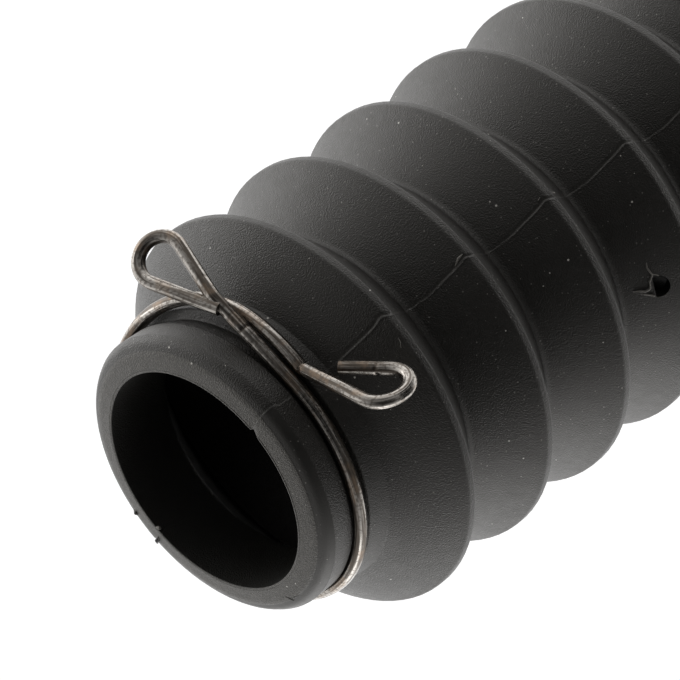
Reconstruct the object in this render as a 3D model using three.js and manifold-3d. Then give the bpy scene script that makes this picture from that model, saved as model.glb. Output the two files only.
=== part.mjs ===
// Rubber fork gaiter with the spring-wire clamp of its small end.
// Millimetres, +Z up along the axis: the wide end stands on z = 0 and the clamped end is on top.
// +X lies midway between the ears of the clamp.
import * as THREE from 'three';
import Module from 'manifold-3d';
import { mergeVertices } from 'three/addons/utils/BufferGeometryUtils.js';

// Driving dimensions: the neck that grips the fork tube
const neckBore = 35;
const neckWall = 3.8;
const lipProud = 0.95;
const lipLength = 5.65;
const lipLead = 2.3;
const lipLeadDepth = 0.75;
const neckBoreLength = 11;

// Driving dimensions: the shoulder between the clamp groove and the first fold
const shoulderRoot = 0.65;
const shoulderRootRise = 1.4;
const shoulderLength = 3.8;
const shoulderRise = 2.06;
const firstFlankLength = 7.81;

// Driving dimensions: the folds
const foldCount = 9;
const foldPitch = 17.24;
const crestDiameter = 62.8;
const valleyDiameter = 48;
const backFlankLength = 7.8;
const crestLand = 1.2;
const crestRound = 1.8;
const valleyRound = 1.2;
const foldWall = 2;
const innerRound = 1;

// Driving dimensions: the cuff of the wide end
const cuffBore = 52;
const cuffWall = 2.4;
const cuffLength = 16;
const cuffRimLength = 5;
const cuffRimProud = 1;
const cuffRimLead = 1.6;

// Driving dimensions: the drain hole in a fold
const ventDiameter = 2.6;
const ventFold = 4;
const ventAzimuth = -68.9;

// Driving dimensions: the wire clamp
const wireDiameter = 2;
const seatClearance = 0.3;
const strandGap = 0.14;
const strandDraw = 0.028;
const strandDrop = 0.024;
const settleStart = 0.06;
const settleEnd = 0.27;
const grooveWidth = 1.3 * wireDiameter;
const hookAzimuth = -24.5;
const loopAzimuth = 9.6;
const loopRunOut = 34.5;
const hookEar = { leg: 12.3, bend: 3.61, turn: 211.7, tail: 7, splay: 35.8, rise: 5.6, tilt: 4.4, side: -1, sense: -1 };
const loopEar = { leg: 9.16, bend: 3.39, turn: 213.1, tail: 11.18, splay: 29.4, rise: -14.9, tilt: 45.3, side: 1, sense: 1 };

// Fineness of the facets
const roundSegments = 32;
const ventSides = 12;
const wireSides = 8;
const wireSteps = 140;

// Sizes that follow from the driving dimensions; depths are taken down from the clamped end
const neckBoreRadius = neckBore / 2;
const grooveRadius = neckBoreRadius + neckWall;
const lipRadius = grooveRadius + lipProud;
const grooveEnd = lipLength + grooveWidth;
const shoulderEnd = grooveEnd + shoulderLength;
const shoulderRootRadius = grooveRadius + shoulderRootRise;
const shoulderRadius = grooveRadius + shoulderRise;
const crestRadius = crestDiameter / 2;
const valleyRadius = valleyDiameter / 2;
const firstCrest = shoulderEnd + firstFlankLength;
const lastCrest = firstCrest + (foldCount - 1) * foldPitch;
const cuffBoreRadius = cuffBore / 2;
const cuffRadius = cuffBoreRadius + cuffWall;
const foldSlope = (crestRadius - valleyRadius) / backFlankLength;
const cuffStart = lastCrest + crestLand / 2 + (crestRadius - cuffRadius) / foldSlope;
const totalLength = cuffStart + cuffLength;
const wallAcross = foldWall * Math.hypot(1, foldSlope);
const frontFlankLength = foldPitch - backFlankLength;
const wireRadius = wireDiameter / 2;
const gripRadius = grooveRadius + seatClearance + wireRadius;
const gripDepth = lipLength + seatClearance + wireRadius;
const freeStrandRadius = shoulderRootRadius + strandGap + wireRadius;
const strandPitch = wireDiameter + strandGap;
const freeStrandDepth = gripDepth + Math.sqrt(Math.max(0, strandPitch ** 2 - (freeStrandRadius - gripRadius) ** 2));

const rubber = new THREE.MeshStandardMaterial({ name: 'black_rubber', color: 0x26262a, roughness: 0.78, metalness: 0 });
const springSteel = new THREE.MeshStandardMaterial({ name: 'spring_steel', color: 0x8d8780, roughness: 0.36, metalness: 1 });

// One corner of a turned outline, with the radius that rounds it off and the facets of that round.
function corner(radius, depth, round = 0, facets = 1) {
  return { at: new THREE.Vector2(radius, totalLength - depth), round, facets };
}

// The points of a closed outline, its rounded corners as arcs that touch both edges.
function roundedOutline(corners) {
  const points = [];
  corners.forEach((here, index) => {
    const before = corners[(index + corners.length - 1) % corners.length].at;
    const after = corners[(index + 1) % corners.length].at;
    if (here.round === 0) {
      points.push(here.at.clone());
      return;
    }
    const toBefore = before.clone().sub(here.at);
    const toAfter = after.clone().sub(here.at);
    const shorter = Math.min(toBefore.length(), toAfter.length());
    toBefore.normalize();
    toAfter.normalize();
    const halfAngle = Math.acos(toBefore.dot(toAfter)) / 2;
    const setBack = Math.min(here.round / Math.tan(halfAngle), 0.48 * shorter);
    const round = setBack * Math.tan(halfAngle);
    const middle = toBefore.clone().add(toAfter).normalize();
    const centre = here.at.clone().addScaledVector(middle, round / Math.sin(halfAngle));
    const start = here.at.clone().addScaledVector(toBefore, setBack).sub(centre);
    const turn = Math.PI - 2 * halfAngle;
    const handed = Math.sign(toAfter.cross(toBefore));
    for (let step = 0; step <= here.facets; step += 1) {
      const spoke = start.clone().rotateAround(new THREE.Vector2(), (handed * turn * step) / here.facets);
      points.push(centre.clone().add(spoke));
    }
  });
  return points;
}

// The outside of the gaiter from the clamped end down: lip, groove, shoulder, folds and cuff.
function outerCorners() {
  const corners = [
    corner(lipRadius - lipLeadDepth, 0, 0.8, 2),
    corner(lipRadius, lipLead),
    corner(lipRadius, lipLength, 0.3, 1),
    corner(grooveRadius, lipLength + lipProud / 2),
    corner(grooveRadius, grooveEnd),
    corner(shoulderRootRadius, grooveEnd + shoulderRoot, 0.3, 2),
    corner(shoulderRadius, shoulderEnd),
  ];
  for (let fold = 0; fold < foldCount; fold += 1) {
    const crest = firstCrest + fold * foldPitch;
    corners.push(corner(crestRadius, crest - crestLand / 2, crestRound, 3));
    corners.push(corner(crestRadius, crest + crestLand / 2));
    if (fold < foldCount - 1) {
      corners.push(corner(valleyRadius, crest + backFlankLength, valleyRound, 2));
    }
  }
  corners.push(
    corner(cuffRadius, cuffStart, 1, 2),
    corner(cuffRadius, totalLength - cuffRimLength),
    corner(cuffRadius + cuffRimProud, totalLength - cuffRimLength + cuffRimProud),
    corner(cuffRadius + cuffRimProud, totalLength - cuffRimLead, 0.8, 2),
    corner(cuffRadius, totalLength, 0.4, 1),
  );
  return corners;
}

// The inside from the wide end up: cuff bore, the folds followed at the wall's thickness, neck bore.
function innerCorners() {
  const crest = crestRadius - wallAcross;
  const valley = valleyRadius - wallAcross;
  const corners = [
    corner(cuffBoreRadius, totalLength, 0.4, 1),
    corner(cuffBoreRadius, cuffStart + cuffWall / 2, 1, 1),
  ];
  for (let fold = foldCount - 1; fold >= 0; fold -= 1) {
    const depth = firstCrest + fold * foldPitch;
    corners.push(corner(crest, depth, innerRound, 1));
    if (fold > 0) {
      corners.push(corner(valley, depth - frontFlankLength, valleyRound + foldWall, 2));
    }
  }
  corners.push(corner(neckBoreRadius, neckBoreLength, 1, 2), corner(neckBoreRadius, 0, 0.4, 1));
  return corners;
}

// A closed outline turned about the axis, which stands along +Z.
function turned(corners) {
  const points = roundedOutline(corners);
  points.push(points[0].clone());
  return new THREE.LatheGeometry(points.reverse(), roundSegments).rotateX(Math.PI / 2);
}

const wasm = await Module();
wasm.setup();

// A closed geometry as a solid for cutting, with its shared corners merged.
function toSolid(geometry) {
  const bare = geometry.clone();
  bare.deleteAttribute('normal');
  bare.deleteAttribute('uv');
  const merged = mergeVertices(bare, 1e-4);
  const vertProperties = new Float32Array(merged.attributes.position.array);
  const triVerts = new Uint32Array(merged.index.array);
  return new wasm.Manifold(new wasm.Mesh({ numProp: 3, vertProperties, triVerts }));
}

// A cut solid as a geometry again.
function toGeometry(solid) {
  const mesh = solid.getMesh();
  const geometry = new THREE.BufferGeometry();
  geometry.setAttribute('position', new THREE.BufferAttribute(mesh.vertProperties, 3));
  geometry.setIndex(new THREE.BufferAttribute(mesh.triVerts, 1));
  geometry.computeVertexNormals();
  return geometry;
}

// The drain hole: a pin square to the upper flank of its fold, halfway up that flank.
function ventPin() {
  const flankDepth = firstCrest + (ventFold - 1) * foldPitch - frontFlankLength / 2;
  const flankRadius = (crestRadius + valleyRadius) / 2;
  const flankTilt = Math.atan2(crestRadius - valleyRadius, frontFlankLength);
  const pin = new THREE.CylinderGeometry(ventDiameter / 2, ventDiameter / 2, 4 * foldWall, ventSides);
  pin.rotateZ(-(Math.PI / 2 - flankTilt));
  pin.rotateX(Math.PI / 2);
  pin.translate(flankRadius - wallAcross / 2, 0, totalLength - flankDepth);
  return pin.rotateZ(THREE.MathUtils.degToRad(ventAzimuth));
}

function bellowsGeometry() {
  const body = toSolid(turned([...outerCorners(), ...innerCorners()]));
  return toGeometry(body.subtract(toSolid(ventPin())));
}

// One turn of wire round the neck, between two azimuths, radii and depths. It draws away from
// the shoulder as it leaves its free end, then settles into the groove.
class WireTurn extends THREE.Curve {
  constructor(from, to) {
    super();
    this.from = from;
    this.to = to;
  }

  getPoint(t, target = new THREE.Vector3()) {
    const { lerp, smoothstep, degToRad } = THREE.MathUtils;
    const swept = (this.to.azimuth - this.from.azimuth) * t;
    const settled = smoothstep(t, settleStart, settleEnd);
    const radius = lerp(this.from.radius + strandDraw * swept, this.to.radius, settled);
    const depth = lerp(this.from.depth + strandDrop * swept, this.to.depth, settled);
    const azimuth = degToRad(this.from.azimuth + swept);
    return target.set(radius * Math.cos(azimuth), radius * Math.sin(azimuth), totalLength - depth);
  }
}

// A bend of an ear: an arc in the plane of two directions.
class WireBend extends THREE.Curve {
  constructor(centre, spoke, along, radius, turn) {
    super();
    Object.assign(this, { centre, spoke, along, radius, turn });
  }

  getPoint(t, target = new THREE.Vector3()) {
    target.copy(this.centre);
    target.addScaledVector(this.spoke, this.radius * Math.cos(t * this.turn));
    return target.addScaledVector(this.along, this.radius * Math.sin(t * this.turn));
  }
}

// The lines and the bend of one ear, from its root on the ring out to its cut end.
// splay leans the ear out from the ring, rise lifts it towards the mouth, tilt turns its loop.
function earCurves(root, azimuth, ear) {
  const radians = THREE.MathUtils.degToRad;
  const outward = new THREE.Vector3(Math.cos(radians(azimuth)), Math.sin(radians(azimuth)), 0);
  const up = new THREE.Vector3(0, 0, 1);
  const onward = up.clone().cross(outward).multiplyScalar(ear.sense);
  const level = onward.clone().multiplyScalar(Math.cos(radians(ear.splay)));
  level.addScaledVector(outward, Math.sin(radians(ear.splay)));
  const facing = outward.clone().multiplyScalar(Math.cos(radians(ear.splay)));
  facing.addScaledVector(onward, -Math.sin(radians(ear.splay)));
  const along = level.clone().multiplyScalar(Math.cos(radians(ear.rise)));
  along.addScaledVector(up, Math.sin(radians(ear.rise)));
  const across = up.clone().multiplyScalar(Math.cos(radians(ear.tilt)));
  across.addScaledVector(facing, -Math.sin(radians(ear.tilt)));
  across.addScaledVector(along, -across.dot(along)).normalize().multiplyScalar(ear.side);
  const bendStart = root.clone().addScaledVector(along, ear.leg);
  const centre = bendStart.clone().addScaledVector(across, ear.bend);
  const turn = radians(ear.turn);
  const bend = new WireBend(centre, across.clone().negate(), along, ear.bend, turn);
  const bendEnd = bend.getPoint(1);
  const tailWay = along.clone().multiplyScalar(Math.cos(turn)).addScaledVector(across, Math.sin(turn));
  const tip = bendEnd.clone().addScaledVector(tailWay, ear.tail);
  return { leg: [root, bendStart], bend, tail: [bendEnd, tip] };
}

// The whole wire as one path: hook ear, one turn in the groove, run-out to the crossing, loop ear.
function wirePath() {
  const hookRoot = { azimuth: hookAzimuth, radius: freeStrandRadius, depth: freeStrandDepth };
  const runOutStart = { azimuth: 360 + loopAzimuth - loopRunOut, radius: gripRadius, depth: gripDepth };
  const turn = new WireTurn(hookRoot, runOutStart);
  const crossingRadius = gripRadius / Math.cos(THREE.MathUtils.degToRad(loopRunOut));
  const crossingAngle = THREE.MathUtils.degToRad(loopAzimuth);
  const crossing = new THREE.Vector3(
    crossingRadius * Math.cos(crossingAngle),
    crossingRadius * Math.sin(crossingAngle),
    totalLength - gripDepth,
  );
  const hook = earCurves(turn.getPoint(0), hookAzimuth, hookEar);
  const loop = earCurves(crossing, loopAzimuth, loopEar);
  const hookBend = hook.bend;
  const hookBack = new WireBend(
    hookBend.centre,
    hookBend.getPoint(1).sub(hookBend.centre).normalize(),
    new THREE.Vector3().subVectors(hook.tail[1], hook.tail[0]).normalize().negate(),
    hookEar.bend,
    hookBend.turn,
  );
  const path = new THREE.CurvePath();
  path.add(new THREE.LineCurve3(hook.tail[1], hook.tail[0]));
  path.add(hookBack);
  path.add(new THREE.LineCurve3(hook.leg[1], hook.leg[0]));
  path.add(turn);
  path.add(new THREE.LineCurve3(turn.getPoint(1), crossing));
  path.add(new THREE.LineCurve3(loop.leg[0], loop.leg[1]));
  path.add(loop.bend);
  path.add(new THREE.LineCurve3(loop.tail[0], loop.tail[1]));
  return path;
}

function wireGeometry() {
  const section = new THREE.Shape().absarc(0, 0, wireRadius, 0, 2 * Math.PI, false);
  const round = new THREE.Shape(section.getPoints(wireSides / 2).slice(0, wireSides));
  return new THREE.ExtrudeGeometry(round, { steps: wireSteps, curveSegments: 1, extrudePath: wirePath() });
}

const bellows = new THREE.Mesh(bellowsGeometry(), rubber);
bellows.name = 'bellows_boot';

const clamp = new THREE.Mesh(wireGeometry(), springSteel);
clamp.name = 'wire_clamp';

const gaiter = new THREE.Group();
gaiter.name = 'fork_gaiter';
gaiter.add(bellows, clamp);

export default gaiter;
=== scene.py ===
"""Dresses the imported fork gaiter: the moulded rubber boot with its drain hole, and the sprung wire clip.

Sizes are in millimetres and become metres where a mesh is made. Depths are measured down from the
clamped end. Azimuths are in degrees, counted from +X towards +Y.
"""
import logging
import math
from collections.abc import Sequence
from dataclasses import dataclass, field
from enum import Enum

import bmesh
import bpy
from mathutils import Matrix, Vector

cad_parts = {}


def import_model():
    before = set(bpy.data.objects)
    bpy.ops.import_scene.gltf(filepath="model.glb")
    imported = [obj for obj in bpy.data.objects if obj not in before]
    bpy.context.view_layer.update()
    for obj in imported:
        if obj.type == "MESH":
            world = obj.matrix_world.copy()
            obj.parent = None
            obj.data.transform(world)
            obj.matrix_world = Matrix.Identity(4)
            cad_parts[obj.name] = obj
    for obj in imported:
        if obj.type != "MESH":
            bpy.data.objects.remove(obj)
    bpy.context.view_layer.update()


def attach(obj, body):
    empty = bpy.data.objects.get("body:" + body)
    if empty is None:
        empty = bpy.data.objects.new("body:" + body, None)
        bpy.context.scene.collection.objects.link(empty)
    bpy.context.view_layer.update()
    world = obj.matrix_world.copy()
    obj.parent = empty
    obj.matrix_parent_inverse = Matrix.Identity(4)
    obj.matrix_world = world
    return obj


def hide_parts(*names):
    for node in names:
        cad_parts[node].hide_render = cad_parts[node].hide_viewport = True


MM = 0.001
# A round takes up to this share of the shorter run beside it.
ROUND_SHARE = 0.48
# A run shorter than this many supports is left undivided.
SHORTEST_RUN = 2.5
# Points of the turned skin closer than this, in metres, are one point.
MERGE_REACH = 2e-6
log = logging.getLogger("fork_gaiter")


class Slot(Enum):
    """The record's material slots."""

    RUBBER = "rubber"
    STEEL = "spring_steel"


class NodeSheet:
    """A node tree being laid out, with short ways to place nodes and join their sockets."""

    def __init__(self, tree: bpy.types.NodeTree) -> None:
        """Takes the tree that the nodes go into."""
        self.tree = tree

    def feed(self, socket: bpy.types.NodeSocket, value: object) -> None:
        """Joins a socket to another one, or gives it a plain value.

        Args:
            socket: the input to feed.
            value: an output socket, or a number, vector, colour or name.
        """
        if isinstance(value, bpy.types.NodeSocket):
            self.tree.links.new(value, socket)
        else:
            socket.default_value = value

    def place(self, kind: str, inputs: dict | None = None, **settings: object) -> bpy.types.Node:
        """Adds a node.

        Args:
            kind: the node's type name.
            inputs: what feeds its inputs, by socket name or number.
            settings: the node's own settings.

        Returns:
            The new node.
        """
        node = self.tree.nodes.new(kind)
        for name, value in settings.items():
            setattr(node, name, value)
        for key, value in (inputs or {}).items():
            self.feed(node.inputs[key], value)
        return node

    def math(self, operation: str, *values: object) -> bpy.types.NodeSocket:
        """Adds a Math node and returns its result."""
        return self.place("ShaderNodeMath", dict(enumerate(values)), operation=operation).outputs[0]

    def vector(self, operation: str, *values: object, result: int = 0) -> bpy.types.NodeSocket:
        """Adds a Vector Math node and returns one of its results."""
        node = self.place("ShaderNodeVectorMath", dict(enumerate(values)), operation=operation)
        return node.outputs[result]

    def span(self, value: object, low: float, high: float, start: float = 0.0,
             end: float = 1.0) -> bpy.types.NodeSocket:
        """Maps a value smoothly from low..high to start..end.

        Args:
            value: the value to map.
            low: where the change begins.
            high: where the change ends.
            start: the result at low.
            end: the result at high.

        Returns:
            The mapped value's socket.
        """
        inputs = {0: value, 1: low, 2: high, 3: start, 4: end}
        return self.place("ShaderNodeMapRange", inputs, interpolation_type="SMOOTHSTEP").outputs[0]

    def blend(self, share: object, first: object, second: object) -> bpy.types.NodeSocket:
        """Mixes two colours by a share and returns the colour."""
        return self.place("ShaderNodeMix", {0: share, 6: first, 7: second}, data_type="RGBA").outputs[2]

    def parts(self, value: object) -> bpy.types.NodeOutputs:
        """Splits a vector into its X, Y and Z."""
        return self.place("ShaderNodeSeparateXYZ", {0: value}).outputs

    def position(self) -> bpy.types.NodeSocket:
        """Reads the place of each point, in a geometry tree."""
        return self.place("GeometryNodeInputPosition").outputs[0]

    def read(self, name: str, kind: str = "FLOAT") -> bpy.types.NodeSocket:
        """Reads a named attribute, in a geometry tree."""
        return self.place("GeometryNodeInputNamedAttribute", {"Name": name}, data_type=kind).outputs[0]

    def store(self, skin: bpy.types.NodeSocket, name: str, value: object,
              kind: str = "FLOAT") -> bpy.types.NodeSocket:
        """Stores a named attribute on a geometry's points.

        Args:
            skin: the geometry.
            name: the attribute's name.
            value: what each point holds.
            kind: the attribute's data type.

        Returns:
            The geometry with its attribute.
        """
        inputs = {"Geometry": skin, "Name": name, "Value": value}
        node = self.place("GeometryNodeStoreNamedAttribute", inputs, data_type=kind, domain="POINT")
        return node.outputs[0]

    def sample(self, source: bpy.types.NodeSocket, value: object, index: object) -> bpy.types.NodeSocket:
        """Takes a vector from one of a source's points, by the point's number."""
        inputs = {"Geometry": source, "Value": value, "Index": index}
        return self.place("GeometryNodeSampleIndex", inputs, data_type="FLOAT_VECTOR").outputs[0]

    def shift(self, skin: bpy.types.NodeSocket, offset: object) -> bpy.types.NodeSocket:
        """Moves a geometry's points by an offset."""
        return self.place("GeometryNodeSetPosition", {"Geometry": skin, "Offset": offset}).outputs[0]

    def swell(self, skin: bpy.types.NodeSocket, height: object) -> bpy.types.NodeSocket:
        """Moves a geometry's points along their normals.

        Args:
            skin: the geometry.
            height: how far each point moves out.

        Returns:
            The moved geometry.
        """
        normal = self.place("GeometryNodeInputNormal").outputs[0]
        offset = self.place("ShaderNodeVectorMath", {0: normal, 3: height}, operation="SCALE").outputs[0]
        return self.shift(skin, offset)


def new_group(name: str, kind: str, sockets: Sequence[tuple[str, str, str, object]]) -> bpy.types.NodeTree:
    """Makes an empty node group with its sockets.

    Args:
        name: the group's name.
        kind: the type name of the tree.
        sockets: for each socket its name, INPUT or OUTPUT, its type name, and its usual value or None.

    Returns:
        The new group.
    """
    group = bpy.data.node_groups.new(name, kind)
    for title, way, socket_type, value in sockets:
        socket = group.interface.new_socket(name=title, in_out=way, socket_type=socket_type)
        if value is not None:
            socket.default_value = value
    return group


def place_object(name: str, data: bpy.types.ID) -> bpy.types.Object:
    """Puts a mesh, lamp or camera into the scene as an object at the origin.

    Args:
        name: the object's name.
        data: what the object shows.

    Returns:
        The new object.
    """
    thing = bpy.data.objects.new(name, data)
    bpy.context.scene.collection.objects.link(thing)
    return thing


def round_axis(azimuth: float, radius: float, height: float) -> Vector:
    """The point at an azimuth in degrees, a radius and a height."""
    angle = math.radians(azimuth)
    return Vector((radius * math.cos(angle), radius * math.sin(angle), height))


def heading(azimuth: float, elevation: float) -> Vector:
    """The direction at an azimuth and an elevation, both in degrees."""
    turn, lift = math.radians(azimuth), math.radians(elevation)
    return Vector((math.cos(turn) * math.cos(lift), math.sin(turn) * math.cos(lift), math.sin(lift)))


def run_tree(host: bpy.types.Object, tree: bpy.types.NodeTree, values: dict[str, object]) -> bpy.types.Object:
    """Runs a geometry tree on an object and keeps the result as the object's plain mesh.

    Args:
        host: the object whose mesh goes into the tree.
        tree: the geometry tree.
        values: the tree's inputs by name.

    Returns:
        The same object with the finished mesh and no modifier.
    """
    modifier = host.modifiers.new(tree.name, "NODES")
    modifier.node_group = tree
    inputs = (item for item in tree.interface.items_tree if item.in_out == "INPUT")
    identifiers = {item.name: item.identifier for item in inputs}
    for name, value in values.items():
        modifier[identifiers[name]] = value
    return keep_result(host)


def keep_result(host: bpy.types.Object) -> bpy.types.Object:
    """Turns an object's evaluated form into its plain mesh, and clears its modifiers.

    Args:
        host: the object.

    Returns:
        The same object.
    """
    graph = bpy.context.evaluated_depsgraph_get()
    finished = bpy.data.meshes.new_from_object(host.evaluated_get(graph), depsgraph=graph)
    host.modifiers.clear()
    rough = host.data
    host.data = finished
    bpy.data.meshes.remove(rough)
    finished.name = host.name
    return host


@dataclass(frozen=True)
class NeckLean:
    """How the soft neck leans and shifts off its axis.

    The slope is how far the mouth sinks for each millimetre along +X and +Y. Both changes ease in
    between two heights.
    """

    slope: tuple[float, float] = (0.0028, -0.0322)
    lean_between: tuple[float, float] = (130.0, 157.7)
    shift: tuple[float, float, float] = (-0.75, 0.55, -0.6)
    shift_between: tuple[float, float] = (159.2, 167.0)

    def apply(self, sheet: NodeSheet, skin: bpy.types.NodeSocket) -> bpy.types.NodeSocket:
        """Leans a piece inside a geometry tree.

        Args:
            sheet: the tree being laid out.
            skin: the geometry before the lean.

        Returns:
            The leaned geometry.
        """
        position = sheet.position()
        height = sheet.parts(position)[2]
        leaning = sheet.span(height, *(level * MM for level in self.lean_between))
        shifting = sheet.span(height, *(level * MM for level in self.shift_between))
        tilt = sheet.vector("DOT_PRODUCT", position, (*self.slope, 0.0), result=1)
        sink = sheet.math("MULTIPLY", sheet.math("MULTIPLY", tilt, leaning), -1.0)
        along_x, along_y, along_z = (sheet.math("MULTIPLY", shifting, way * MM) for way in self.shift)
        offset = {0: along_x, 1: along_y, 2: sheet.math("ADD", along_z, sink)}
        return sheet.shift(skin, sheet.place("ShaderNodeCombineXYZ", offset).outputs[0])


@dataclass(frozen=True)
class Corner:
    """One corner of an outline: its place, and the round that takes its edge off."""

    radius: float
    depth: float
    round: float = 0.0
    facets: int = 1


def rounded(corners: Sequence[Corner], support: float = 0.25, longest: float = 1.7) -> list[Vector]:
    """Rounds the corners of an open outline and divides its straight runs.

    Args:
        corners: the outline's corners in order; the first and last stay sharp.
        support: how far from each round a point holds the straight run flat.
        longest: the longest step that a straight run keeps.

    Returns:
        The outline's points as (radius, depth) pairs.
    """
    bends: list[list[Vector]] = [[Vector((corners[0].radius, corners[0].depth))]]
    for before, here, after in zip(corners, corners[1:], corners[2:]):
        spot = Vector((here.radius, here.depth))
        back = Vector((before.radius, before.depth)) - spot
        onward = Vector((after.radius, after.depth)) - spot
        if here.round == 0:
            bends.append([spot])
            continue
        room = ROUND_SHARE * min(back.length, onward.length)
        back.normalize()
        onward.normalize()
        half = math.acos(max(-1.0, min(1.0, back.dot(onward)))) / 2
        set_back = min(here.round / math.tan(half), room)
        radius = set_back * math.tan(half)
        centre = spot + (back + onward).normalized() * (radius / math.sin(half))
        start = spot + back * set_back - centre
        turn = math.copysign(math.pi - 2 * half, onward.cross(back))
        arc = []
        for step in range(here.facets + 1):
            spoke = start.copy()
            spoke.rotate(Matrix.Rotation(turn * step / here.facets, 2))
            arc.append(centre + spoke)
        bends.append(arc)
    bends.append([Vector((corners[-1].radius, corners[-1].depth))])
    points = list(bends[0])
    for leaving, reaching in zip(bends, bends[1:]):
        points += divided(leaving[-1], reaching[0], support, longest)
        points += reaching
    return points


def divided(start: Vector, end: Vector, support: float, longest: float) -> list[Vector]:
    """Divides a straight run.

    Args:
        start: the run's first end.
        end: the run's other end.
        support: how far from each end the first and last points stand.
        longest: the longest step between points.

    Returns:
        The points that hold the run flat, without its two ends.
    """
    run = end - start
    if run.length < SHORTEST_RUN * support:
        return []
    way = run.normalized()
    first, last = start + way * support, end - way * support
    steps = max(1, math.ceil((last - first).length / longest))
    return [first.lerp(last, step / steps) for step in range(steps + 1)]


@dataclass(frozen=True)
class NeckSizes:
    """The clamped end: bore, lip, groove of the clip, and shoulder.

    mouth_turn and lip_brow are corners of the domed mouth, each as (radius, depth). The bead is a fine
    ring at the bore's edge. The flat mouth reaches past its turn by mouth_margin, and what lies within
    bore_margin of the bore counts as its wall.
    """

    bore: float = 35.0
    wall: float = 3.8
    bore_length: float = 11.0
    lip_proud: float = 0.95
    lip_length: float = 5.65
    lip_lead: float = 2.2
    mouth_turn: tuple[float, float] = (20.2, 0.45)
    lip_brow: tuple[float, float] = (21.7, 1.15)
    mouth_margin: float = 0.4
    bore_margin: float = 0.01
    bead_width: float = 0.26
    bead_gap: float = 0.14
    bead_depth: float = 0.13
    groove_width: float = 2.6
    shoulder_root: float = 0.65
    shoulder_root_rise: float = 1.4
    shoulder_length: float = 3.8
    shoulder_rise: float = 2.06

    @property
    def groove_radius(self) -> float:
        """The radius of the groove's floor."""
        return self.bore / 2 + self.wall

    @property
    def shoulder_end(self) -> float:
        """The depth at which the first fold begins."""
        return self.lip_length + self.groove_width + self.shoulder_length


@dataclass(frozen=True)
class FoldSizes:
    """The folds, all of one size but for the first flank. crest and valley are the outside's radii."""

    count: int = 9
    pitch: float = 17.24
    crest: float = 31.4
    valley: float = 24.0
    first_flank: float = 7.81
    back_flank: float = 7.8
    land: float = 1.2
    front_round: float = 1.8
    back_round: float = 0.35
    valley_round: float = 1.1
    wall: float = 2.0

    @property
    def slope(self) -> float:
        """How far a back flank falls towards the axis for each millimetre along it."""
        return (self.crest - self.valley) / self.back_flank

    @property
    def wall_across(self) -> float:
        """The wall's thickness measured square to the axis."""
        return self.wall * math.hypot(1, self.slope)

    @property
    def front_flank(self) -> float:
        """The length along the axis from a valley to the next crest."""
        return self.pitch - self.back_flank


@dataclass(frozen=True)
class CuffSizes:
    """The wide end."""

    bore: float = 52.0
    wall: float = 2.4
    length: float = 16.0
    rim_length: float = 5.0
    rim_proud: float = 1.0
    rim_lead: float = 1.6


@dataclass(frozen=True)
class DrainHole:
    """The drain hole in one front flank, cut straight on its side towards the neck.

    flat_at is where the straight side stands, as a share of the half width.
    """

    depth: float = 66.9
    azimuth: float = -69.8
    width: float = 3.4
    flat_at: float = 0.38
    half_length: float = 4.0
    sides: int = 36


@dataclass(frozen=True)
class PartingLine:
    """Where the two halves of the mould met, and the flash left along that line.

    Each row of a table is a depth, how far the line has wandered towards +azimuth there, and how high its
    flash stands. The second table's depths are counted from a crest, and every fold shares it. The skin
    swings with the line, and the swing fades round the boot by swing_power. The flash rises steeply out of
    a gutter, and falls gently on its other side. fray is how its height varies. At the height full_seam it
    is fully paled, with dust and a painted highlight. The nick is a facet trimmed off the mouth's inner
    edge beside the line, and nick_side is how far from the line it ends.
    """

    azimuth: float = -28.5
    swing_power: float = 9.0
    gutter: tuple[float, float, float] = (-0.42, -0.24, -0.08)
    gutter_share: float = 0.5
    top: float = 0.12
    gentle_side: float = 0.4
    fray: tuple[float, float] = (0.45, 1.15)
    frayed_between: tuple[float, float] = (0.3, 0.7)
    fray_per_metre: float = 700.0
    full_seam: float = 0.2
    nick_reach: float = 19.6
    nick_width: float = 1.9
    nick_depth: float = 0.55
    nick_side: float = 0.2
    neck: tuple[tuple[float, float, float], ...] = (
        (0, -0.34, 0.05), (0.34, -0.19, 0.08), (0.86, 0, 0.08), (1.9, 0, 0.06), (3.3, -0.49, 0.04),
        (13.4, -0.66, 0.05), (14.4, -0.62, 0.2), (16.3, -0.5, 0.25), (17.3, -0.42, 0.28), (18.1, -0.25, 0.3),
        (18.75, 0.15, 0.3), (19.2, -0.1, 0.2), (19.86, -0.45, 0.1),
    )
    fold: tuple[tuple[float, float, float], ...] = (
        (0, -0.45, 0.1), (0.6, -0.6, 0.1), (4.2, -0.5, 0.08), (7.7, -0.45, 0.05), (10.6, -0.85, 0.06),
        (11.4, -0.8, 0.12), (12.8, -0.6, 0.14), (14.6, -0.4, 0.16), (15.4, -0.25, 0.22), (16.0, 0.05, 0.28),
        (16.5, -0.1, 0.2), (17.24, -0.45, 0.1),
    )

    def at(self, table: Sequence[tuple[float, float, float]], depth: float) -> tuple[float, float]:
        """Reads a table between its rows.

        Args:
            table: the neck's table or the folds'.
            depth: the depth in that table's count.

        Returns:
            The line's wander and its flash's height.
        """
        for low, high in zip(table, table[1:]):
            if depth <= high[0]:
                share = max(0.0, (depth - low[0]) / (high[0] - low[0]))
                return tuple(start + (end - start) * share for start, end in zip(low[1:], high[1:]))
        return table[-1][1:]


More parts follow.
